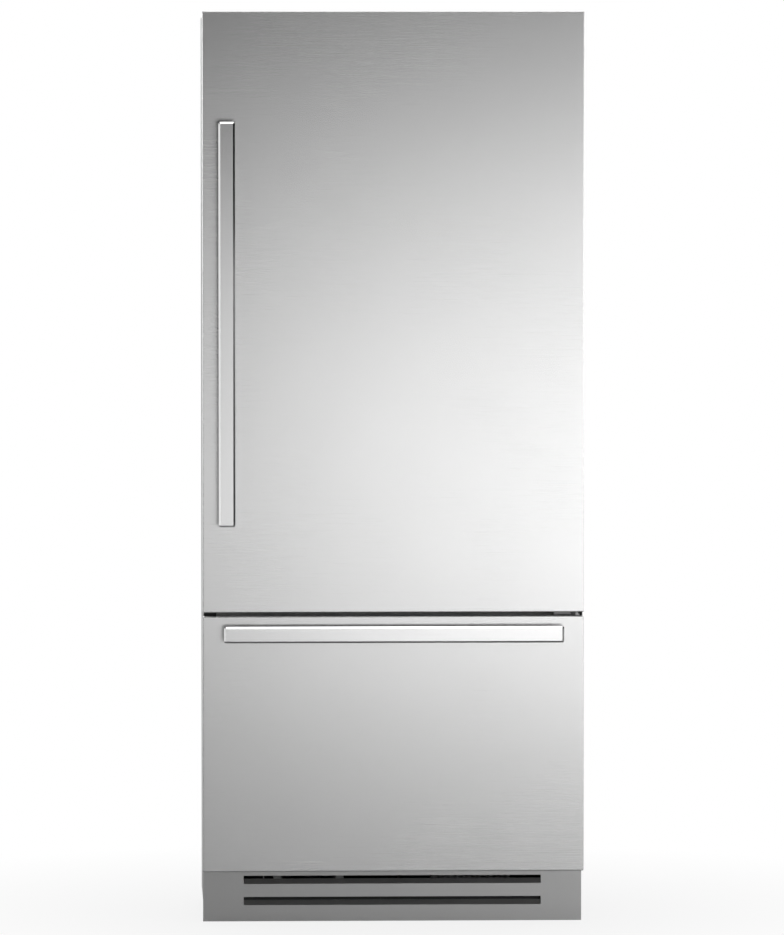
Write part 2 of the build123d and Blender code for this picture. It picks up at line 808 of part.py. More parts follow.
# Moulded trim along the front edge of each shelf
with BuildPart() as shelf_trims:
    for level in shelf_levels:
        middle = level + shelf_glass / 2
        with BuildSketch(Plane.YZ):
            with Locations((y_shelf + (trim_depth - trim_nose) / 2, middle)):
                RectangleRounded(trim_depth + trim_nose, trim_height, trim_nose / 2)
            with Locations((y_shelf + trim_depth / 2, middle)):
                Rectangle(trim_depth, shelf_glass, mode=Mode.SUBTRACT)
        extrude(amount=ledge_edge - trim_end_gap, both=True)
write(shelf_trims, "shelf_trims")

# Crisper frame: a middle post and a front rail under the glass
with BuildPart() as crisper_frame:
    with BuildSketch(front_plane(y_shelf)):
        level_rectangle(crisper_post_width, room_floor, crisper_top)
    extrude(amount=-(y_shelf_back - y_shelf))
    with BuildSketch(front_plane(y_shelf)):
        level_rectangle(2 * (ledge_edge - trim_end_gap), crisper_top - crisper_rail_height, crisper_top)
    extrude(amount=-crisper_rail_depth)
write(crisper_frame, "crisper_frame")

# Crispers: open-topped drawers that slide on the liner's floor, each with a grip lip
crisper_low = room_floor + running_gap
crisper_high = crisper_top - crisper_rail_height - crisper_top_gap
crisper_inner = crisper_post_width / 2 + crisper_side_gap
crisper_outer = half_room - liner_corner
y_crisper = y_shelf + crisper_setback
y_crisper_back = y_shelf_back - crisper_back_gap
for side, sign in (("left", -1), ("right", 1)):
    x_crisper = sign * (crisper_inner + crisper_outer) / 2
    with BuildPart() as crisper:
        with BuildSketch(Plane.XY.offset(crisper_low)):
            with Locations((x_crisper, (y_crisper + y_crisper_back) / 2)):
                RectangleRounded(crisper_outer - crisper_inner, y_crisper_back - y_crisper, crisper_corner)
        extrude(amount=crisper_high - crisper_low)
        fillet(crisper.faces().sort_by(Axis.Z)[0].edges(), crisper_corner / 2)
        offset(amount=-crisper_wall, openings=crisper.faces().sort_by(Axis.Z)[-1])
        with BuildSketch(Plane.XY.offset(crisper_high)):
            with Locations((x_crisper, y_crisper - (crisper_grip_depth - crisper_wall) / 2)):
                Rectangle(crisper_grip_width, crisper_grip_depth + crisper_wall)
        extrude(amount=-crisper_grip_height)
    write(crisper, f"crisper_{side}")

# Air duct up the back wall, with a row of vents
duct_low = crisper_top + shelf_back_gap
duct_high = fridge_top - liner_wall - shelf_back_gap
with BuildPart() as air_duct:
    with BuildSketch(front_plane(room_back - duct_depth)):
        level_rectangle(duct_width, duct_low, duct_high, duct_depth)
    extrude(amount=-duct_depth)
    fillet(air_duct.faces().sort_by(Axis.Y)[0].edges(), duct_depth / 4)
    with BuildSketch(front_plane(room_back - duct_depth)):
        with Locations((0, (duct_low + duct_high) / 2)):
            with GridLocations(1, (duct_high - duct_low) / duct_vent_count, 1, duct_vent_count):
                SlotOverall(duct_vent_width, duct_vent_height)
    extrude(amount=-duct_depth / 2, mode=Mode.SUBTRACT)
write(air_duct, "air_duct")

# Light bars on both side walls, between the door dike and the shelves
with BuildPart() as light_bars:
    light_low = crisper_top + light_end_gap
    light_high = fridge_top - liner_wall - light_end_gap
    with BuildSketch(Plane.XY.offset(light_low)):
        for sign in (-1, 1):
            with Locations((sign * (half_room - light_depth / 2), y_case + light_setback + light_width / 2)):
                Rectangle(light_depth, light_width)
    extrude(amount=light_high - light_low)
write(light_bars, "light_bars")

# Control panel under the ceiling
with BuildPart() as control_panel:
    with BuildSketch(Plane.XY.offset(fridge_top - liner_wall - control_height)):
        with Locations((0, y_case + control_setback + control_depth / 2)):
            RectangleRounded(control_width, control_depth, control_round)
    extrude(amount=control_height)
    chamfer(control_panel.faces().sort_by(Axis.Z)[0].edges(), control_round / 2)
write(control_panel, "control_panel")

# Door bins between the sides of the dike, open at the top
bin_half = half_room - dike_gap - dike_width - bin_end_gap
for place, rise in zip(("lower", "middle", "upper"), bin_rises):
    level = fridge_bottom + rise
    with BuildPart() as door_bin:
        with BuildSketch(Plane.YZ):
            with BuildLine():
                Polyline((y_flange, level), (y_flange + bin_depth - bin_lean, level),
                         (y_flange + bin_depth, level + bin_front_height), (y_flange, level + bin_front_height),
                         close=True)
            make_face()
        extrude(amount=bin_half, both=True)
        fillet(door_bin.edges().filter_by(Axis.X).group_by(Axis.Z)[0].sort_by(Axis.Y)[-1], bin_corner)
        offset(amount=-bin_wall, openings=door_bin.faces().sort_by(Axis.Z)[-1])
    write(door_bin, f"door_bin_{place}")


def channel_sections(step):
    """Sections of both slides' channels: a web and two flanges, nested a step inside the member before."""
    shrink = step * (slide_sheet + slide_clearance)
    height = slide_rail_height - 2 * shrink
    outer = half_room - shrink
    inner = half_room - slide_thickness
    for sign in (-1, 1):
        with Locations((sign * (outer + inner) / 2, slide_height)):
            Rectangle(outer - inner, height)
        with Locations((sign * (outer + inner - slide_sheet) / 2, slide_height)):
            Rectangle(outer - inner - slide_sheet, height - 2 * slide_sheet, mode=Mode.SUBTRACT)


# Three-member slides on the freezer's side walls
y_slide = y_case + slide_setback
y_slide_back = y_slide + slide_depth
with BuildPart() as slide_cabinet_members:
    with BuildSketch(front_plane(y_slide)):
        channel_sections(0)
    extrude(amount=-slide_depth)
write(slide_cabinet_members, "slide_cabinet_members")

with BuildPart() as slide_middle_members:
    with BuildSketch(front_plane(y_slide)):
        channel_sections(1)
    extrude(amount=-slide_depth)
write(slide_middle_members, "slide_middle_members")

# Inner members carry the basket on a ledge, and end in tabs on the drawer front
ledge_in = half_room - slide_thickness - basket_rim
rail_web = half_room - 2 * (slide_sheet + slide_clearance)
with BuildPart() as drawer_side_rails:
    with BuildSketch(front_plane(y_flange)):
        channel_sections(2)
    extrude(amount=-(y_slide_back - y_flange))
    for sign in (-1, 1):
        with BuildSketch(front_plane(y_flange)):
            with Locations((sign * (ledge_in + rail_web) / 2, slide_height)):
                Rectangle(rail_web - ledge_in, slide_sheet)
        extrude(amount=-(y_slide_back - y_flange))
        with BuildSketch(front_plane(y_flange)):
            with Locations((sign * (half_room - slide_thickness + rail_web) / 2, slide_height)):
                Rectangle(rail_web - half_room + slide_thickness, slide_tab_height)
        extrude(amount=-slide_tab_sheet)
        with BuildSketch(front_plane(y_flange)):
            with Locations((sign * (ledge_in + half_room - slide_thickness) / 2, slide_height)):
                Rectangle(basket_rim, 2 * slide_sheet)
        extrude(amount=-(plug_depth + basket_setback), mode=Mode.SUBTRACT)
write(drawer_side_rails, "drawer_side_rails")

# Freezer basket: a moulded bin hung by its rim, with its back floor raised over the machine bay
y_basket = y_flange + plug_depth + basket_setback
y_basket_back = y_basket + basket_depth
basket_floor = freezer_bottom + liner_wall + basket_floor_gap
basket_step = bay_top + floor_wall + liner_wall + basket_floor_gap
y_basket_step = y_bay - floor_wall - liner_wall - basket_step_in
basket_seat = slide_height + slide_sheet / 2
basket_half = ledge_in - basket_side_gap
with BuildPart() as freezer_bin:
    with BuildSketch(Plane.YZ):
        with BuildLine():
            Polyline((y_basket, basket_floor), (y_basket_step, basket_floor), (y_basket_step, basket_step),
                     (y_basket_back, basket_step), (y_basket_back, basket_seat + basket_wall),
                     (y_basket, basket_seat + basket_wall), close=True)
        make_face()
    extrude(amount=basket_half, both=True)
    corners = freezer_bin.edges().filter_by(Axis.Z).group_by(Axis.Y)
    fillet(corners[0] + corners[-1], basket_corner)
    offset(amount=-basket_wall, openings=freezer_bin.faces().sort_by(Axis.Z)[-1], kind=Kind.INTERSECTION)
    with BuildSketch(Plane.XY.offset(basket_seat)):
        for sign in (-1, 1):
            with Locations((sign * (basket_half + half_room - slide_thickness - basket_side_gap) / 2,
                            (y_basket + y_basket_back) / 2)):
                Rectangle(half_room - slide_thickness - basket_side_gap - basket_half + basket_wall,
                          basket_depth - 2 * basket_corner)
    extrude(amount=basket_wall)
write(freezer_bin, "freezer_bin")

# Sliding tray that runs on the basket's rim
tray_low = basket_seat + basket_wall + running_gap
tray_half = half_room - slide_thickness - tray_side_gap
with BuildPart() as freezer_tray:
    with BuildSketch(Plane.XY.offset(tray_low)):
        with Locations((0, y_basket + tray_depth / 2)):
            RectangleRounded(2 * tray_half, tray_depth, tray_corner)
    extrude(amount=tray_height)
    fillet(freezer_tray.faces().sort_by(Axis.Z)[0].edges(), tray_corner / 2)
    offset(amount=-tray_wall, openings=freezer_tray.faces().sort_by(Axis.Z)[-1])
write(freezer_tray, "freezer_tray")

# Compressor: a welded can on a foot plate that stands on four rubber grommets
y_bay_mid = (y_bay + y_back - case_sheet) / 2
plate_low = pan_top + grommet_height
can_low = plate_low + compressor_plate
with BuildPart() as compressor_grommets:
    with BuildSketch(Plane.XY.offset(pan_top)):
        with Locations((compressor_x, y_bay_mid)):
            with GridLocations(compressor_feet_x, compressor_feet_y, 2, 2):
                Circle(grommet_radius)
    extrude(amount=grommet_height)
write(compressor_grommets, "compressor_grommets")

with BuildPart() as compressor:
    with BuildSketch(Plane.XY.offset(plate_low)):
        with Locations((compressor_x, y_bay_mid)):
            RectangleRounded(compressor_feet_x + 2 * grommet_radius, compressor_feet_y + 2 * grommet_radius,
                             grommet_radius)
    extrude(amount=compressor_plate)
    with BuildSketch(Plane.XY.offset(can_low)):
        with Locations((compressor_x, y_bay_mid)):
            Circle(compressor_radius)
    extrude(amount=compressor_height)
    fillet(compressor.faces().sort_by(Axis.Z)[-1].edges(), compressor_crown)
write(compressor, "compressor")


def fin_block(x, y, width, depth, fins):
    """Plan of a finned block: a core along the tubes, with fins standing out to the front and the back."""
    pitch = width / fins
    with Locations((x, y)):
        Rectangle(width, depth)
    for sign in (-1, 1):
        with Locations((x, y + sign * (depth + coil_core) / 4)):
            with GridLocations(pitch, 1, fins - 1, 1):
                Rectangle(pitch * (1 - coil_fin_share), (depth - coil_core) / 2, mode=Mode.SUBTRACT)


# Condenser coil: a finned block on the base pan, with tube bends at both ends
with BuildPart() as condenser_coil:
    z_coil = pan_top + condenser_height / 2
    with BuildSketch(Plane.XY.offset(pan_top)):
        fin_block(condenser_x, y_bay_mid, condenser_width, condenser_depth, condenser_fins)
    extrude(amount=condenser_height)
    for sign in (-1, 1):
        x_end = condenser_x + sign * condenser_width / 2
        for z in (z_coil - 2 * coil_bend_radius, z_coil + 2 * coil_bend_radius):
            with BuildSketch(Plane.YZ.offset(x_end)):
                with Locations((y_bay_mid, z + coil_bend_radius)):
                    Circle(coil_tube_radius)
            revolve(axis=Axis((x_end, y_bay_mid, z), (0, sign, 0)), revolution_arc=180)
write(condenser_coil, "condenser_coil")

# Fan shroud: a plate across the bay, a ring round the fan and two bars that hold the motor
z_fan = (pan_top + bay_top) / 2
x_motor = shroud_x + shroud_sheet
x_motor_end = x_motor + motor_length
ring_radius = fan_radius + fan_ring_gap
y_shroud_low = y_bay + shroud_edge_gap
y_shroud_high = y_back - case_sheet - base_sheet - shroud_edge_gap
with BuildPart() as fan_shroud:
    with BuildSketch(Plane.YZ.offset(shroud_x)):
        with Locations(((y_shroud_low + y_shroud_high) / 2, (pan_top + bay_top - shroud_edge_gap) / 2)):
            Rectangle(y_shroud_high - y_shroud_low, bay_top - shroud_edge_gap - pan_top)
        with Locations((y_bay_mid, z_fan)):
            Circle(ring_radius, mode=Mode.SUBTRACT)
            Rectangle(2 * ring_radius + shroud_sheet, motor_bar)
            Rectangle(motor_bar, 2 * ring_radius + shroud_sheet)
    extrude(amount=shroud_sheet)
    with BuildSketch(Plane.YZ.offset(x_motor)):
        with Locations((y_bay_mid, z_fan)):
            Circle(ring_radius + shroud_sheet)
            Circle(ring_radius, mode=Mode.SUBTRACT)
    extrude(amount=motor_length + fan_hub_gap + fan_hub_length)
write(fan_shroud, "fan_shroud")

# Fan motors with their shafts: one on the shroud's bars, one on the freezer's back wall
z_cold_fan = freezer_top - liner_wall - evaporator_fan_drop
with BuildPart() as fan_motors:
    for seat in (Plane((x_motor, y_bay_mid, z_fan), z_dir=(1, 0, 0)),
                 Plane((0, room_back, z_cold_fan), z_dir=(0, -1, 0))):
        with BuildSketch(seat):
            Circle(motor_radius)
        extrude(amount=motor_length)
        with BuildSketch(seat.offset(motor_length)):
            Circle(shaft_radius)
        extrude(amount=shaft_length)
write(fan_motors, "fan_motors")

# Fan wheel: a hub with pitched blades, made about its own shaft and set on both motors
tip_station = (fan_radius**2 - (fan_tip_chord / 2) ** 2) ** 0.5
root_station = (fan_hub_radius**2 - (fan_root_chord / 2) ** 2) ** 0.5
with BuildPart() as fan_blade:
    with BuildSketch(Plane((root_station, 0, fan_hub_length / 2), x_dir=(0, 1, 0), z_dir=(1, 0, 0))):
        Rectangle(fan_root_chord, fan_blade_thickness, rotation=fan_root_pitch)
    with BuildSketch(Plane((tip_station, 0, fan_hub_length / 2), x_dir=(0, 1, 0), z_dir=(1, 0, 0))):
        Rectangle(fan_tip_chord, fan_blade_thickness, rotation=fan_tip_pitch)
    loft()
with BuildPart() as fan_wheel:
    with BuildSketch():
        Circle(fan_hub_radius)
    extrude(amount=fan_hub_length)
    with PolarLocations(0, fan_blades):
        add(fan_blade.part)
    with BuildSketch():
        Circle(shaft_radius + shaft_clearance)
    extrude(amount=shaft_length, mode=Mode.SUBTRACT)
hub_face = motor_length + fan_hub_gap
with BuildPart() as condenser_fan:
    with Locations(Plane((x_motor + hub_face, y_bay_mid, z_fan), z_dir=(1, 0, 0)).location):
        add(fan_wheel.part)
write(condenser_fan, "condenser_fan")
with BuildPart() as evaporator_fan:
    with Locations(Plane((0, room_back - hub_face, z_cold_fan), z_dir=(0, -1, 0)).location):
        add(fan_wheel.part)
write(evaporator_fan, "evaporator_fan")

# Drain pan on the base pan, beside the compressor
with BuildPart() as drain_pan:
    with BuildSketch(Plane.XY.offset(pan_top)):
        with Locations((drain_pan_x, y_bay_mid)):
            Rectangle(drain_pan_width, drain_pan_depth)
    extrude(amount=drain_pan_height)
    offset(amount=-drain_pan_wall, openings=drain_pan.faces().sort_by(Axis.Z)[-1])
write(drain_pan, "drain_pan")

# Evaporator: a finned block on the raised floor behind the freezer's rear cover
z_step = bay_top + floor_wall + liner_wall
y_chamber = room_back - evaporator_chamber
y_coil = room_back - evaporator_chamber / 2
with BuildPart() as evaporator:
    with BuildSketch(Plane.XY.offset(z_step)):
        fin_block(0, y_coil, evaporator_width, evaporator_depth, evaporator_fins)
    extrude(amount=evaporator_height)
    for sign in (-1, 1):
        x_end = sign * evaporator_width / 2
        for z in (-2 * coil_bend_radius, 2 * coil_bend_radius):
            z_bend = z_step + evaporator_height / 2 + z
            with BuildSketch(Plane.YZ.offset(x_end)):
                with Locations((y_coil, z_bend + coil_bend_radius)):
                    Circle(coil_tube_radius)
            revolve(axis=Axis((x_end, y_coil, z_bend), (0, sign, 0)), revolution_arc=180)
write(evaporator, "evaporator")

# Rear cover of the freezer: vents in front of the fan and return slots along the foot
with BuildPart() as evaporator_cover:
    with BuildSketch(front_plane(y_chamber - evaporator_cover_sheet)):
        level_rectangle(2 * half_room, z_step, freezer_top - liner_wall)
        with Locations((0, z_cold_fan)):
            with GridLocations(1, vent_pitch, 1, vent_rows):
                SlotOverall(vent_width, vent_height, mode=Mode.SUBTRACT)
        with Locations((0, z_step + vent_pitch)):
            with GridLocations(return_vent_pitch, 1, return_vents, 1):
                SlotOverall(vent_width, vent_height, mode=Mode.SUBTRACT)
    extrude(amount=-evaporator_cover_sheet)
write(evaporator_cover, "evaporator_cover")
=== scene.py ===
import math

import bmesh
import bpy
from mathutils import Matrix, Vector


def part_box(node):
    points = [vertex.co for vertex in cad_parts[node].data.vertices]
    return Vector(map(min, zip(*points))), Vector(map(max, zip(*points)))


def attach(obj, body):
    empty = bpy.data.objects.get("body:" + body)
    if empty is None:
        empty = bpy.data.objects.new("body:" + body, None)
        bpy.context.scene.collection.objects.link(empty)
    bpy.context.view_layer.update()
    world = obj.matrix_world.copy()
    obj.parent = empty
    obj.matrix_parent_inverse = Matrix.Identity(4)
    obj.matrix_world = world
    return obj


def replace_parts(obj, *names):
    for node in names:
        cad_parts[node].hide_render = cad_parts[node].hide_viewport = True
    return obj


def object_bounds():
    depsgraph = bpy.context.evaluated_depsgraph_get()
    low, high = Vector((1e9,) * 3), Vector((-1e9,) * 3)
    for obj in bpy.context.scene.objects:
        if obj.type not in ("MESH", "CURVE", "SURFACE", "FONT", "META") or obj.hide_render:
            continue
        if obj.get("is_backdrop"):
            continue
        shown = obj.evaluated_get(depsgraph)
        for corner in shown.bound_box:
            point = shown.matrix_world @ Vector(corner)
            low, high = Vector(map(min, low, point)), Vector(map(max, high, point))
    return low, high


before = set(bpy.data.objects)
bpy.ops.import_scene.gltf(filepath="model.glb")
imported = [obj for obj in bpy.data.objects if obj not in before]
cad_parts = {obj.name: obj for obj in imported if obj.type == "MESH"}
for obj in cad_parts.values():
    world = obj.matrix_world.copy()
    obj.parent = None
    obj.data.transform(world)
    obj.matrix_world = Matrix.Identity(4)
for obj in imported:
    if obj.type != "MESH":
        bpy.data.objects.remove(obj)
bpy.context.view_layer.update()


# Door and drawer panels and the toe-kick: thin stainless sheet with a fine brushed grain that runs
# level. The panels are folded back at their edges and bonded to the pans behind them, and the
# toe-kick stands in front of the base pan.
class Wire:
    """A shader socket that takes part in sums: operators between wires and numbers add Math nodes."""

    def __init__(self, tree, socket=None):
        self.tree = tree
        self.socket = socket

    def node(self, kind, sockets=None, out=0, **settings):
        """Adds a node: its settings first, then the values or links of its sockets."""
        made = self.tree.nodes.new("ShaderNode" + kind)
        for name, value in settings.items():
            setattr(made, name, value)
        for key, value in (sockets or {}).items():
            if isinstance(value, Wire):
                self.tree.links.new(value.socket, made.inputs[key])
            else:
                made.inputs[key].default_value = value
        return Wire(self.tree, made.outputs[out])

    def to(self, shader, key):
        """Links this socket to one of a shader's own."""
        self.tree.links.new(self.socket, shader.inputs[key])

    def __add__(self, other):
        return self.node("Math", {0: self, 1: other}, operation="ADD")

    def __sub__(self, other):
        return self.node("Math", {0: self, 1: other}, operation="SUBTRACT")

    def __rsub__(self, other):
        return self.node("Math", {0: other, 1: self}, operation="SUBTRACT")

    def __mul__(self, other):
        return self.node("Math", {0: self, 1: other}, operation="MULTIPLY")

    __radd__ = __add__
    __rmul__ = __mul__


def finish(name, constants):
    """A new material with its plain numbers on the shader's own sockets."""
    material = bpy.data.materials.new(name)
    material.use_nodes = True
    shader = material.node_tree.nodes["Principled BSDF"]
    for key, value in constants.items():
        shader.inputs[key].default_value = value
    return material, Wire(material.node_tree), shader


def tint(wire, amount, dark, light):
    """A colour between two tones by an amount. A tone is a colour, or one number for a grey."""
    dark, light = [(*tone, 1) if isinstance(tone, tuple) else (tone, tone, tone, 1) for tone in (dark, light)]
    return wire.node("Mix", {"Factor": amount, "A": dark, "B": light}, out="Result", data_type="RGBA")


def noise(wire, scale, detail=3.0):
    """Smooth noise over the object's own coordinates, by one scale or by a scale for each axis."""
    place = wire.node("TexCoord", out="Object")
    scale = (scale, scale, scale) if isinstance(scale, float) else scale
    spread = wire.node("Mapping", {"Vector": place, "Scale": scale})
    return wire.node("TexNoise", {"Vector": spread, "Scale": 1.0, "Detail": detail, "Roughness": 0.5}, out="Fac")


def bump(wire, shader, height, strength, distance):
    """Small relief on the surface."""
    relief = wire.node("Bump", {"Height": height, "Strength": strength, "Distance": distance}, out="Normal")
    relief.to(shader, "Normal")


def brushed(name, along, dark, light, rough, chamfers=None):
    """Brushed stainless whose grain runs along one axis. Chamfers are polished: an axis across, its
    two ends, the chamfer's width and how much smoother it is."""
    stroke, scratch, patch, blend = 6.0, 5200.0, 2.2, 0.0004
    material, wire, shader = finish(name, {"Metallic": 1.0})
    grain = noise(wire, [stroke if axis == along else scratch for axis in "XYZ"])
    cloud = noise(wire, patch, 2.0)
    tint(wire, grain * 0.7 + cloud * 0.3, dark, light).to(shader, "Base Color")
    satin = grain * 0.025 + cloud * 0.03 + (rough - 0.028)
    if chamfers:
        across, low, high, width, polish = chamfers
        place = wire.node("SeparateXYZ", {"Vector": wire.node("TexCoord", out="Object")}, out=across)
        away = wire.node("Math", {0: place - (low + high) / 2}, operation="ABSOLUTE")
        start = (high - low) / 2 - width
        ramp = wire.node("MapRange", {"Value": away, "From Min": start, "From Max": start + blend})
        satin = satin - ramp * polish
    satin.to(shader, "Roughness")
    bump(wire, shader, grain, 0.035, 0.00003)
    return material


def wear(material, *nodes):
    """Gives CAD nodes their finished material."""
    for node in nodes:
        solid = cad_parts[node]
        if not solid.material_slots:
            solid.data.materials.append(material)
        for place in solid.material_slots:
            place.material = material


wear(brushed("brushed_stainless", "X", 0.585, 0.62, 0.27), "door_panel", "drawer_panel")
# The toe-kick wears a darker copy of the panels' stainless: the darker colour is painted shade for where it
# stands low under the drawer.
wear(brushed("toe_kick_shaded_stainless", "X", 0.4, 0.43, 0.3), "toe_kick_grille")

# Bar handles: solid stainless bars, brushed along their length and polished on their chamfers, and
# screwed through short square posts into the fronts.
chamfer, polish = 0.0045, 0.14
for node, name, along, across in (("door_handle_bar", "handle_upright_steel", "Z", "X"),
                                  ("drawer_handle_bar", "handle_level_steel", "X", "Z")):
    low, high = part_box(node)
    axis = "XYZ".index(across)
    wear(brushed(name, along, 0.5, 0.55, 0.2, (across, low[axis], high[axis], chamfer, polish)), node)
wear(brushed("handle_post_steel", "Y", 0.5, 0.6, 0.3), "door_handle_posts", "drawer_handle_posts")

# Case, face frame and the pans behind the panels: folded steel sheet, welded at its corners, with a
# grey powder coat whose fine orange peel catches the light.
case_paint, wire, shader = finish("grey_powder_coat", {"Specular IOR Level": 0.15})
peel = noise(wire, 900.0, 2.0)
cloud = noise(wire, 3.0, 3.0)
tint(wire, cloud, 0.46, 0.53).to(shader, "Base Color")
(peel * 0.1 + 0.55).to(shader, "Roughness")
bump(wire, shader, peel, 0.15, 0.0003)
wear(case_paint, "outer_case", "face_frame", "door_pan", "drawer_pan")

# Rear panel, machine cover, brackets and slides: zinc-coated sheet, with the crystal spangle that
# the coating freezes into. The slides are rolled from strip, so their grain runs along them.
zinc, wire, shader = finish("zinc_spangle", {"Metallic": 1.0})
place = wire.node("TexCoord", out="Object")
cells = wire.node("TexVoronoi", {"Vector": place, "Scale": 110.0}, out="Color")
spangle = wire.node("SeparateColor", {"Color": cells}, out="Red")
streak = noise(wire, (8.0, 8.0, 2.0), 4.0)
tint(wire, spangle * 0.6 + streak * 0.4, (0.5, 0.51, 0.52), (0.64, 0.65, 0.66)).to(shader, "Base Color")
(spangle * 0.16 + streak * 0.1 + 0.3).to(shader, "Roughness")
bump(wire, shader, spangle, 0.05, 0.0004)
wear(zinc, "back_panel", "machine_cover", "anti_tip_brackets", "roller_brackets", "roller_axles")
slide_zinc, wire, shader = finish("slide_zinc", {"Metallic": 1.0})
drawn = noise(wire, (260.0, 4.0, 260.0), 3.0)
tint(wire, drawn, (0.5, 0.5, 0.51), (0.66, 0.66, 0.67)).to(shader, "Base Color")
(drawn * 0.12 + 0.22).to(shader, "Roughness")
bump(wire, shader, drawn, 0.1, 0.0002)
wear(slide_zinc, "slide_cabinet_members", "slide_middle_members", "drawer_side_rails")


# Screws that hold the rear panel, the machine cover and the hinges: hex heads on pressed washers,
# bright zinc, with the shallow dish that the header leaves in each head.
def piece(name, mesh, material, body):
    """Makes a finished bmesh an object that rides on a body."""
    data = bpy.data.meshes.new(name)
    mesh.to_mesh(data)
    mesh.free()
    data.materials.append(material)
    made = bpy.data.objects.new(name, data)
    bpy.context.scene.collection.objects.link(made)
    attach(made, body)
    return made


def screws(name, places, facing, body):
    """Hex washer-head screws at the given places, their heads turned towards a direction."""
    washer, rise, head, height, dish = 0.0052, 0.001, 0.0036, 0.0026, 0.0007
    mesh = bmesh.new()
    turn = Vector((0, 0, 1)).rotation_difference(Vector(facing)).to_matrix().to_4x4()
    for spot in places:
        at = Matrix.Translation(spot) @ turn
        bmesh.ops.create_cone(mesh, cap_ends=True, segments=20, radius1=washer, radius2=washer * 0.86, depth=rise,
                              matrix=at @ Matrix.Translation((0, 0, rise / 2)))
        made = bmesh.ops.create_cone(mesh, cap_ends=True, segments=6, radius1=head, radius2=head, depth=height,
                                     matrix=at @ Matrix.Translation((0, 0, rise + height / 2)))
        mesh.normal_update()
        sides = {face for vert in made["verts"] for face in vert.link_faces}
        caps = [face for face in sides if face.normal.dot(Vector(facing)) > 0.9]
        bmesh.ops.inset_individual(mesh, faces=caps, thickness=head * 0.3, depth=-dish)
    piece(name, mesh, screw_zinc, body)


screw_zinc, wire, shader = finish("screw_zinc", {"Metallic": 1.0})
rub = noise(wire, 700.0, 3.0)
tint(wire, rub, (0.45, 0.45, 0.46), (0.7, 0.7, 0.71)).to(shader, "Base Color")
(rub * 0.2 + 0.2).to(shader, "Roughness")
bump(wire, shader, rub, 0.2, 0.0001)
back_low, back_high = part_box("back_panel")
inset, rows = 0.014, 6
columns = (back_low.x + inset, back_high.x - inset)
run = back_high.z - back_low.z - 2 * inset
heights = [back_low.z + inset + run * row / (rows - 1) for row in range(rows)]
screws("rear_panel_screws", [(x, back_high.y, z) for x in columns for z in heights], (0, 1, 0), "cabinet")
cover_low, cover_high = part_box("machine_cover")
columns, inset = (-0.435, -0.15, 0.15, 0.435), 0.009
heights = (cover_low.z + inset, cover_high.z - inset)
screws("machine_cover_screws", [(x, cover_high.y, z) for x in columns for z in heights], (0, 1, 0), "cabinet")
plate_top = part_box("top_hinge_plate")[1].z
columns, depths = (0.398, 0.426), (-0.1755, -0.1455)
screws("top_hinge_screws", [(x, y, plate_top) for x in columns for y in depths], (0, 0, 1), "cabinet")

# Hinge plates with their pins: thick steel with a dark conversion coat that is rubbed brighter in
# patches. The top plate is screwed to the case, and the centre plate stands out from the frame.
hinge_coat, wire, shader = finish("dark_hinge_coat", {"Metallic": 1.0})
rub = noise(wire, 120.0, 4.0)
tint(wire, rub, 0.12, 0.3).to(shader, "Base Color")
(rub * 0.2 + 0.3).to(shader, "Roughness")
bump(wire, shader, rub, 0.1, 0.0002)
wear(hinge_coat, "top_hinge_plate", "centre_hinge_plate")

# Base pan behind the toe-kick: pressed steel dipped in matt black primer, scuffed a little paler
# where it is handled.
dip_coat, wire, shader = finish("black_dip_coat", {"Specular IOR Level": 0.25})
scuff = noise(wire, 45.0, 4.0)
tint(wire, scuff, 0.008, 0.022).to(shader, "Base Color")
(scuff * 0.15 + 0.5).to(shader, "Roughness")
bump(wire, shader, scuff, 0.1, 0.0003)
wear(dip_coat, "base_pan")

# Moulded black pieces: the gap cap, fan shroud, drain pan, control bar, fans, motors, rollers and
# door bushes, with the spark-eroded grain of their tools.
black_mould, wire, shader = finish("black_moulding", {"Specular IOR Level": 0.4})
grain = noise(wire, 1500.0, 2.0)
cloud = noise(wire, 14.0, 3.0)
tint(wire, cloud, 0.012, 0.028).to(shader, "Base Color")
(grain * 0.2 + 0.42).to(shader, "Roughness")
bump(wire, shader, grain, 0.25, 0.0002)
wear(black_mould, "hinge_gap_cap", "fan_shroud", "drain_pan", "control_panel", "condenser_fan", "evaporator_fan",
     "fan_motors", "roller_left", "roller_right", "door_bushes")


# Centre hinge end cap: a black moulded plug pressed on the outer end of the hinge plate, which
# closes the gap between the two fronts at the right.
def rounded(mesh, parts, radius, steps, affect="EDGES"):
    """Rounds edges of a bmesh, or the corners of its outline."""
    bmesh.ops.bevel(mesh, geom=parts, offset=radius, offset_type="OFFSET", segments=steps, profile=0.5,
                    affect=affect, material=-1)


def block(low, high, radius):
    """A new bmesh of one block between two corners with its edges rounded."""
    low, high = Vector(low), Vector(high)
    mesh = bmesh.new()
    bmesh.ops.create_cube(mesh, size=1.0,
                          matrix=Matrix.Translation((low + high) / 2) @ Matrix.Diagonal((*(high - low), 1)))
    rounded(mesh, mesh.edges[:], radius, 4)
    return mesh


clear, gap_low, gap_high = 0.0003, 0.7372, 0.7478
outer_end, set_back, depth, cap_round = 0.4516, 0.0005, 0.042, 0.0006
low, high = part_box("centre_hinge_plate")
end_cap = block((high.x + clear, low.y + set_back, gap_low), (outer_end, low.y + depth, gap_high), cap_round)
piece("centre_hinge_end_cap", end_cap, black_mould, "cabinet")

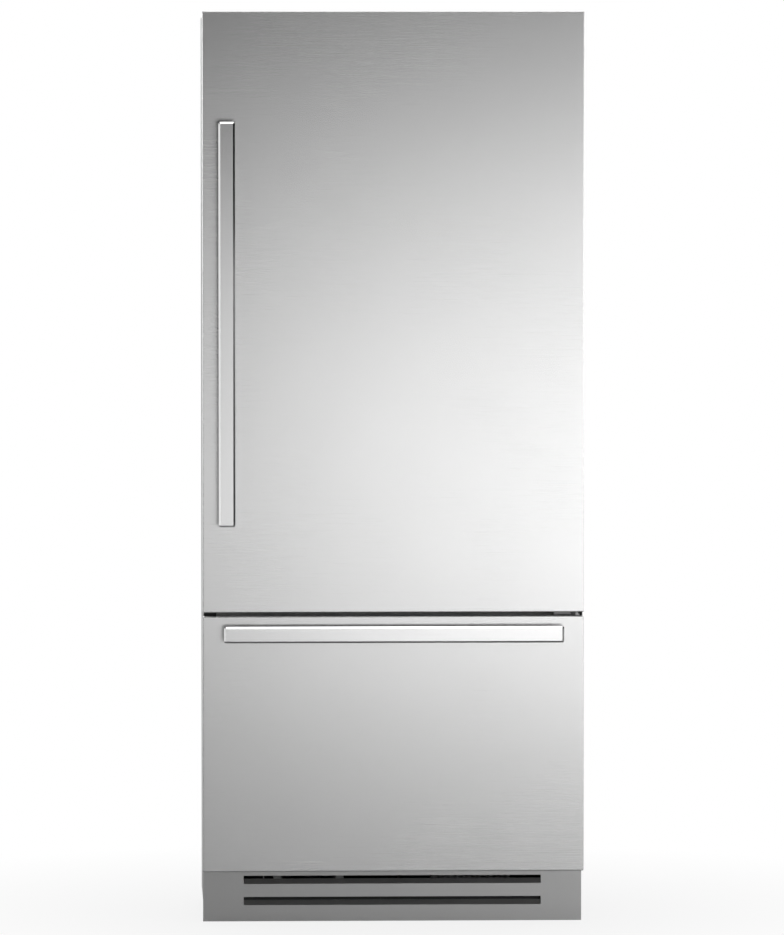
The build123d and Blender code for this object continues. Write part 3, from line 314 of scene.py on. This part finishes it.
# Insulation: closed-cell foam poured between the case and the liners and into both fronts, where it
# sets and bonds the walls together. It is pale, and pitted where it is cut.
foam_cells, wire, shader = finish("poured_foam", {"Specular IOR Level": 0.2})
place = wire.node("TexCoord", out="Object")
pores = wire.node("TexVoronoi", {"Vector": place, "Scale": 500.0}, out="Distance")
cloud = noise(wire, 6.0, 4.0)
tint(wire, cloud, (0.66, 0.57, 0.34), (0.8, 0.72, 0.5)).to(shader, "Base Color")
(pores * 0.2 + 0.75).to(shader, "Roughness")
bump(wire, shader, pores, 0.4, 0.0006)
wear(foam_cells, "cabinet_foam", "door_foam", "drawer_foam")

# Liners, air duct and evaporator cover: white plastic sheet drawn over a mould by vacuum, satin, with
# a faint draw texture. The foam behind the liners holds them.
white_liner, wire, shader = finish("white_liner", {"Specular IOR Level": 0.5})
peel = noise(wire, 420.0, 2.0)
cloud = noise(wire, 2.5, 3.0)
tint(wire, cloud, (0.78, 0.78, 0.775), (0.84, 0.84, 0.835)).to(shader, "Base Color")
(peel * 0.12 + 0.24).to(shader, "Roughness")
bump(wire, shader, peel, 0.08, 0.0003)
wear(white_liner, "fridge_liner", "freezer_liner", "door_liner", "drawer_liner", "air_duct", "evaporator_cover")

# Door and drawer seals: soft grey bellows with a magnet strip, pressed by their root into the groove
# of the front. Each is one profile mitred round the front.
seal_rubber, wire, shader = finish("seal_rubber", {"Specular IOR Level": 0.3})
bloom = noise(wire, 40.0, 4.0)
fine = noise(wire, 900.0, 2.0)
tint(wire, bloom, (0.2, 0.2, 0.205), (0.3, 0.3, 0.305)).to(shader, "Base Color")
(fine * 0.15 + 0.5).to(shader, "Roughness")
bump(wire, shader, fine, 0.15, 0.0002)
wear(seal_rubber, "door_gasket", "drawer_gasket", "compressor_grommets")
# The outline is in millimetres, across from the outer side and out from the groove.
outline = [(8.0, 12.2), (14.6, 12.2), (16.0, 10.6), (15.6, 7.9), (12.0, 6.6), (15.2, 5.2), (14.9, 4.0),
           (11.2, 3.0), (13.8, 1.4), (13.8, 0.0), (2.2, 0.0), (2.2, 1.4), (4.8, 3.0), (1.1, 4.0), (0.8, 5.2),
           (4.0, 6.6), (0.4, 7.9), (0.0, 10.6), (1.4, 12.2)]
reach, fold_round, merge, long_edge = 0.05, 0.0005, 0.00001, 0.1
for node, name, body in (("door_gasket", "door_bellows_seal", "door"),
                         ("drawer_gasket", "drawer_bellows_seal", "freezer_drawer")):
    low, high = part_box(node)
    middle = (low + high) / 2
    mesh = bmesh.new()
    corners = [(reach - u / 1000, low.y + v / 1000, reach - u / 1000) for u, v in outline]
    section = mesh.faces.new([mesh.verts.new(corner) for corner in corners])
    rounded(mesh, section.verts[:], fold_round, 3, "VERTICES")
    bmesh.ops.remove_doubles(mesh, verts=mesh.verts, dist=merge)
    bmesh.ops.delete(mesh, geom=mesh.faces[:], context="FACES_ONLY")
    bmesh.ops.spin(mesh, geom=mesh.verts[:] + mesh.edges[:], cent=(0, 0, 0), axis=(0, 1, 0), angle=math.tau,
                   steps=4, use_merge=True)
    for way in (-1, 1):
        bmesh.ops.translate(mesh, verts=[dot for dot in mesh.verts if dot.co.x * way > 0],
                            vec=(way * (high.x - middle.x - reach), 0, 0))
        bmesh.ops.translate(mesh, verts=[dot for dot in mesh.verts if dot.co.z * way > 0],
                            vec=(0, 0, way * (high.z - middle.z - reach)))
    bmesh.ops.translate(mesh, verts=mesh.verts, vec=(middle.x, 0, middle.z))
    bmesh.ops.recalc_face_normals(mesh, faces=mesh.faces)
    if mesh.calc_volume(signed=True) < 0:
        bmesh.ops.reverse_faces(mesh, faces=mesh.faces)
    for face in mesh.faces:
        face.smooth = True
    for edge in mesh.edges:
        edge.smooth = edge.calc_length() > long_edge
    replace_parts(piece(name, mesh, seal_rubber, body), node)


# Compressor mounts: turned rubber grommets with a waist that gives under the foot plate and a lip
# at each end, pressed over studs in the base pan.
def turned(profile, steps):
    """A new bmesh turned from pairs of radius and height about the upright axis."""
    mesh = bmesh.new()
    dots = [mesh.verts.new((radius, 0, height)) for radius, height in profile]
    run = [mesh.edges.new(pair) for pair in zip(dots, dots[1:])]
    bmesh.ops.spin(mesh, geom=dots + run, cent=(0, 0, 0), axis=(0, 0, 1), angle=math.tau, steps=steps,
                   use_merge=True)
    bmesh.ops.remove_doubles(mesh, verts=mesh.verts, dist=0.000001)
    bmesh.ops.recalc_face_normals(mesh, faces=mesh.faces)
    return mesh


def dots_in(parts):
    """The vertices among a mesh's parts."""
    return [part for part in parts if isinstance(part, bmesh.types.BMVert)]


def repeat(mesh, places):
    """Moves what the mesh holds to the first place and copies it to the others."""
    whole = mesh.verts[:] + mesh.edges[:] + mesh.faces[:]
    for place in places[1:]:
        copied = bmesh.ops.duplicate(mesh, geom=whole)["geom"]
        bmesh.ops.translate(mesh, verts=dots_in(copied), vec=place)
    bmesh.ops.translate(mesh, verts=dots_in(whole), vec=places[0])
    return mesh


low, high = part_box("compressor_grommets")
wide, tall = 0.011, high.z - low.z
waist = [(0, 0), (0.9, 0), (1, 0.08), (1, 0.2), (0.84, 0.3), (0.78, 0.5), (0.84, 0.7), (1, 0.8), (1, 0.92),
         (0.9, 1), (0, 1)]
studs = [(x, y, low.z) for x in (low.x + wide, high.x - wide) for y in (low.y + wide, high.y - wide)]
mounts = repeat(turned([(wide * out, tall * up) for out, up in waist], 32), studs)
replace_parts(piece("compressor_mounts", mounts, seal_rubber, "cabinet"), "compressor_grommets")

# Glass shelves: toughened float glass, clear with the faint green of its iron, its edges ground. They
# lie on the ledges of the liner.
shelf_glass, wire, shader = finish("float_glass", {"IOR": 1.5, "Specular IOR Level": 0.5})
smear = noise(wire, 7.0, 4.0)
tint(wire, smear, (0.72, 0.84, 0.79), (0.8, 0.9, 0.86)).to(shader, "Base Color")
(smear * 0.08 + 0.04).to(shader, "Roughness")
(smear * 0.06 + 0.22).to(shader, "Alpha")
wear(shelf_glass, "glass_shelves")

# Crispers, door bins, freezer basket and tray: clear plastic, each moulded in one piece, a little
# smoky and scuffed. They lift out of what carries them.
clear_mould, wire, shader = finish("clear_moulding", {"IOR": 1.5})
scuff = noise(wire, 30.0, 5.0)
tint(wire, scuff, (0.82, 0.86, 0.88), (0.93, 0.95, 0.96)).to(shader, "Base Color")
(scuff * 0.16 + 0.06).to(shader, "Roughness")
(scuff * 0.08 + 0.13).to(shader, "Alpha")
bump(wire, shader, scuff, 0.03, 0.0005)
wear(clear_mould, "crisper_left", "crisper_right", "door_bin_lower", "door_bin_middle", "door_bin_upper",
     "freezer_tray", "freezer_bin")

# Shelf trims, crisper frame and light bars: silver-painted mouldings with a satin face, pressed on
# the glass and fixed to the liner.
silver_mould, wire, shader = finish("silver_moulding", {"Metallic": 0.6})
drawn = noise(wire, (3.0, 300.0, 300.0), 3.0)
tint(wire, drawn, (0.56, 0.57, 0.58), (0.66, 0.67, 0.68)).to(shader, "Base Color")
(drawn * 0.12 + 0.28).to(shader, "Roughness")
bump(wire, shader, drawn, 0.06, 0.0002)
wear(silver_mould, "shelf_trims", "crisper_frame", "light_bars")

# Door bin rims: a silver channel snapped over the leaning front wall of each bin, a little clear of
# it all round.
sheet, wall, lean = 0.0012, 0.003, 8 / 95
front_drop, back_drop, end_inset, rim_round = 0.014, 0.006, 0.012, 0.00025
for place in ("lower", "middle", "upper"):
    low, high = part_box("door_bin_" + place)
    out, back, crest = high.y + clear, high.y - wall - clear, high.z + clear
    rim = [(out, crest), (out - front_drop * lean, crest - front_drop),
           (out + sheet - front_drop * lean, crest - front_drop), (out + sheet, crest + sheet),
           (back - sheet, crest + sheet), (back - sheet - back_drop * lean, crest - back_drop),
           (back - back_drop * lean, crest - back_drop), (back, crest)]
    mesh = bmesh.new()
    end = mesh.faces.new([mesh.verts.new((low.x + end_inset, y, z)) for y, z in rim])
    grown = bmesh.ops.extrude_face_region(mesh, geom=[end], use_keep_orig=True)["geom"]
    bmesh.ops.translate(mesh, verts=dots_in(grown), vec=(high.x - low.x - 2 * end_inset, 0, 0))
    bmesh.ops.recalc_face_normals(mesh, faces=mesh.faces)
    rounded(mesh, mesh.edges[:], rim_round, 2)
    piece("door_bin_rim_" + place, mesh, silver_mould, "door")

# Interior lights: frosted strips pressed into the two side bars and a lens under the control bar,
# with the row of diodes faintly showing through.
frosted, wire, shader = finish("frosted_diffuser", {"Emission Strength": 6.0, "Specular IOR Level": 0.4})
place = wire.node("TexCoord", out="Object")
diodes = wire.node("TexWave", {"Vector": place, "Scale": 13.0, "Distortion": 0.0}, out="Fac", bands_direction="Z")
haze = noise(wire, 500.0, 2.0)
tint(wire, diodes * 0.7 + haze * 0.3, (0.72, 0.73, 0.74), (0.86, 0.87, 0.88)).to(shader, "Base Color")
tint(wire, diodes, (0.5, 0.5, 0.52), (0.9, 0.9, 0.92)).to(shader, "Emission Color")
(haze * 0.15 + 0.4).to(shader, "Roughness")
bump(wire, shader, haze, 0.1, 0.0002)
bar_thick, half_thick, half_wide, end_gap, strip_round = 0.008, 0.0012, 0.007, 0.02, 0.0011
low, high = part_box("light_bars")
inner, middle = high.x - bar_thick - clear, (low.y + high.y) / 2
strips = block((-half_thick, middle - half_wide, low.z + end_gap),
               (half_thick, middle + half_wide, high.z - end_gap), strip_round)
repeat(strips, [(inner - half_thick, 0, 0), (half_thick - inner, 0, 0)])
piece("light_bar_diffusers", strips, frosted, "cabinet")
half_long, half_deep, drop, lens_round = 0.09, 0.014, 0.0025, 0.001
bar_low, bar_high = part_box("control_panel")
middle = (bar_low.y + bar_high.y) / 2
ceiling_lens = block((-half_long, middle - half_deep, bar_low.z - drop),
                     (half_long, middle + half_deep, bar_low.z - clear), lens_round)
piece("ceiling_light_lens", ceiling_lens, frosted, "cabinet")

# Control bar face: a gloss black strip bonded to the bar, with five ringed touch places and a row
# of small lamps, and no lettering.
gloss_face, wire, shader = finish("gloss_black_face", {"Coat Roughness": 0.05})
film = noise(wire, 60.0, 4.0)
tint(wire, film, (0.006, 0.006, 0.007), (0.014, 0.014, 0.015)).to(shader, "Base Color")
(film * 0.1 + 0.08).to(shader, "Roughness")
(film * 0.3 + 0.5).to(shader, "Coat Weight")
half_long, half_tall, thick, strip_round = 0.124, 0.0054, 0.0013, 0.0005
centre, front = (bar_low.z + bar_high.z) / 2, bar_low.y - clear - thick
strip = block((-half_long, front, centre - half_tall), (half_long, bar_low.y - clear, centre + half_tall),
              strip_round)
piece("control_bar_face", strip, gloss_face, "cabinet")
# The pale ink has a faint glow of its own: on the small lamps it is their light, and on the printed rings it is a
# painted glow.
faintly_glowing_ink, wire, shader = finish("faintly_glowing_ink", {"Emission Strength": 0.2})
speck = noise(wire, 2500.0, 2.0)
tint(wire, speck, (0.6, 0.62, 0.64), (0.76, 0.78, 0.8)).to(shader, "Base Color")
tint(wire, speck, (0.5, 0.55, 0.6), (0.7, 0.75, 0.8)).to(shader, "Emission Color")
(speck * 0.2 + 0.4).to(shader, "Roughness")
pitch, foot, crest, dome_crest = 0.04, 0.0001, 0.0003, 0.0005
ring_out, ring_in = 0.0034, 0.0029
ring = [(ring_out, foot), (ring_out, crest), (ring_in, crest), (ring_in, foot), (ring_out, foot)]
dome = [(0, foot), (0.0008, foot), (0.0007, crest), (0.0004, dome_crest), (0, dome_crest)]
for name, mesh, spots in (("control_bar_rings", turned(ring, 28), [pitch * step for step in range(-2, 3)]),
                          ("control_bar_lamps", turned(dome, 14),
                           [pitch / 2 + pitch * step for step in range(-2, 2)])):
    bmesh.ops.rotate(mesh, verts=mesh.verts, cent=(0, 0, 0), matrix=Matrix.Rotation(math.pi / 2, 3, "X"))
    piece(name, repeat(mesh, [(x, front, centre) for x in spots]), faintly_glowing_ink, "cabinet")

# Evaporator and condenser: thin aluminium fins pressed on a bent tube, dulled in patches by the damp
# air that the fans draw through them.
fin_metal, wire, shader = finish("fin_aluminium", {"Metallic": 1.0})
dull = noise(wire, 60.0, 4.0)
tint(wire, dull, (0.58, 0.58, 0.59), (0.78, 0.78, 0.79)).to(shader, "Base Color")
(dull * 0.2 + 0.25).to(shader, "Roughness")
bump(wire, shader, dull, 0.1, 0.0003)
wear(fin_metal, "evaporator", "condenser_coil")

# Compressor: a drawn steel pot, welded round its waist and sprayed with gloss black paint. Its foot
# plate stands on the four mounts.
pot_paint, wire, shader = finish("pot_black_paint", {"Coat Roughness": 0.1})
peel = noise(wire, 300.0, 2.0)
cloud = noise(wire, 20.0, 3.0)
tint(wire, cloud, (0.01, 0.01, 0.011), (0.02, 0.02, 0.022)).to(shader, "Base Color")
(peel * 0.12 + 0.22).to(shader, "Roughness")
(cloud * 0.3 + 0.3).to(shader, "Coat Weight")
bump(wire, shader, peel, 0.12, 0.0003)
wear(pot_paint, "compressor")

# Levelling feet: zinc-plated steel screws with a fine rolled thread, on pressed round pads. They turn
# in sockets of the base pan.
thread_zinc, wire, shader = finish("thread_zinc", {"Metallic": 1.0})
place = wire.node("TexCoord", out="Object")
threads = wire.node("TexWave", {"Vector": place, "Scale": 180.0, "Distortion": 0.0}, out="Fac",
                    bands_direction="Z")
rub = noise(wire, 200.0, 3.0)
tint(wire, rub, (0.45, 0.45, 0.46), (0.62, 0.62, 0.63)).to(shader, "Base Color")
(rub * 0.15 + 0.25).to(shader, "Roughness")
bump(wire, shader, threads, 0.6, 0.0006)
wear(thread_zinc, "foot_left", "foot_right")

# Studio: a pale floor that keeps the shadow, soft area lamps and a plain world. The camera sees floor
# and world as white, and so do metal and glass for what lies behind the object.
floor_mesh = bmesh.new()
bmesh.ops.create_grid(floor_mesh, x_segments=1, y_segments=1, size=60.0)
floor_data = bpy.data.meshes.new("studio_floor")
floor_mesh.to_mesh(floor_data)
floor_mesh.free()
floor = bpy.data.objects.new("studio_floor", floor_data)
bpy.context.scene.collection.objects.link(floor)
floor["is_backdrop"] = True
floor_paint, wire, shader = finish("floor_paint", {"Roughness": 0.9, "Base Color": (0.4, 0.4, 0.4, 1)})
seen = wire.node("LightPath", out="Is Camera Ray")
mirrored = wire.node("LightPath", out="Is Glossy Ray") + wire.node("LightPath", out="Is Transmission Ray")
along = wire.node("SeparateXYZ", {"Vector": wire.node("TexCoord", out="Object")}, out="Y")
behind = wire.node("MapRange", {"Value": along, "From Min": 0.0, "From Max": 1.0})
glow = wire.node("Emission", {"Color": (1, 1, 1, 1), "Strength": 1.0})
lit = Wire(wire.tree, shader.outputs[0])
distance = wire.node("VectorMath", {0: wire.node("TexCoord", out="Object")}, out="Value", operation="LENGTH")
far = wire.node("MapRange", {"Value": distance, "From Min": 0.4, "From Max": 1.6, "To Min": 0.86, "To Max": 1.0})
mixed = wire.node("MixShader", {0: (seen + mirrored * behind) * far, 1: lit, 2: glow})
mixed.to(floor_paint.node_tree.nodes["Material Output"], "Surface")
floor_data.materials.append(floor_paint)

world = bpy.data.worlds.new("studio_world")
bpy.context.scene.world = world
world.use_nodes = True
tree = world.node_tree
backdrop = Wire(tree)
tree.nodes["Background"].inputs["Color"].default_value = (1, 1, 1, 1)
rear_level = 0.36
seen = backdrop.node("LightPath", out="Is Camera Ray")
mirrored = backdrop.node("LightPath", out="Is Glossy Ray") + backdrop.node("LightPath", out="Is Transmission Ray")
heading = backdrop.node("SeparateXYZ", {"Vector": backdrop.node("TexCoord", out="Generated")}, out="Y")
behind = backdrop.node("MapRange", {"Value": heading, "From Min": 0.15, "From Max": 0.6})
level = backdrop.node("MapRange", {"Value": heading, "From Min": 0.05, "From Max": 0.8, "To Max": rear_level})
shown = backdrop.node("Math", {0: seen + mirrored * behind, 1: 1.0}, operation="MINIMUM")
(level + shown * (1 - level)).to(tree.nodes["Background"], "Strength")

lamps = [
    ("lamp_right_near", (2.0, -2.6, 1.0), (0.2, -0.28, 1.0), 2.0, 2.0, 24.0),
    ("lamp_overhead", (0.0, -0.34, 4.6), (0.0, -0.34, 0.0), 3.0, 0.7, 24.0),
    ("lamp_front_high", (0.0, -2.6, 4.4), (0.0, -0.3, 0.6), 3.0, 1.2, 24.0),
    ("lamp_left", (-4.2, 0.6, 1.8), (0.0, 0.1, 1.1), 4.0, 3.4, 60.0),
    ("lamp_right", (4.2, 2.4, 1.8), (0.0, 0.1, 1.1), 4.0, 3.4, 60.0),
    ("lamp_fill_left", (-3.6, -3.2, 2.2), (0.0, -0.2, 1.0), 2.0, 2.4, 45.0),
    ("lamp_fill_right", (3.6, -3.2, 2.2), (0.0, -0.2, 1.0), 2.0, 2.4, 50.0),
    ("lamp_rear", (0.0, 4.0, 2.6), (0.0, 0.3, 1.0), 3.0, 2.0, 55.0),
]
wall, columns, rows = -8.0, [-1.4, -0.4, 0.2, 0.8, 2.6], [0.05, 0.5, 1.0, 1.4, 1.8]
powers = [(3.2, 2.6, 2.5, 0.8), (8.4, 4.6, 5.3, 3.3), (13.2, 5.7, 7.2, 6.2), (14.8, 5.0, 6.6, 6.4)]
for left, right, column in zip(columns, columns[1:], powers):
    for low, high, power in zip(rows, rows[1:], column):
        spot = ((left + right) / 2, wall, (low + high) / 2)
        lamps.append((f"softbox_{len(lamps)}", spot, (spot[0], 0.0, spot[2]), right - left, high - low,
                      power * (right - left) * (high - low)))
for name, spot, aim, width, height, power in lamps:
    light = bpy.data.lights.new(name, "AREA")
    light.shape = "RECTANGLE"
    light.size = width
    light.size_y = height
    light.energy = power
    lamp = bpy.data.objects.new(name, light)
    lamp.location = spot
    lamp.rotation_euler = (Vector(aim) - Vector(spot)).to_track_quat("-Z", "Y").to_euler()
    lamp.visible_camera = False
    bpy.context.scene.collection.objects.link(lamp)

# Camera: a long lens a little left of the middle and near the height of the top edge, turned a few
# degrees down and to the right, with no shift.
tilt, swing = 3.139, -2.044
lens = bpy.data.cameras.new("photo_camera")
lens.sensor_width = 36.0
lens.lens = 287.6
lens.clip_end = 300.0
camera = bpy.data.objects.new("photo_camera", lens)
camera.location = (-0.636, -18.0, 2.067)
camera.rotation_euler = (math.radians(90 - tilt), 0, math.radians(swing))
bpy.context.scene.collection.objects.link(camera)
bpy.context.scene.camera = camera
bpy.context.scene.view_settings.view_transform = "Standard"

low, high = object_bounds()
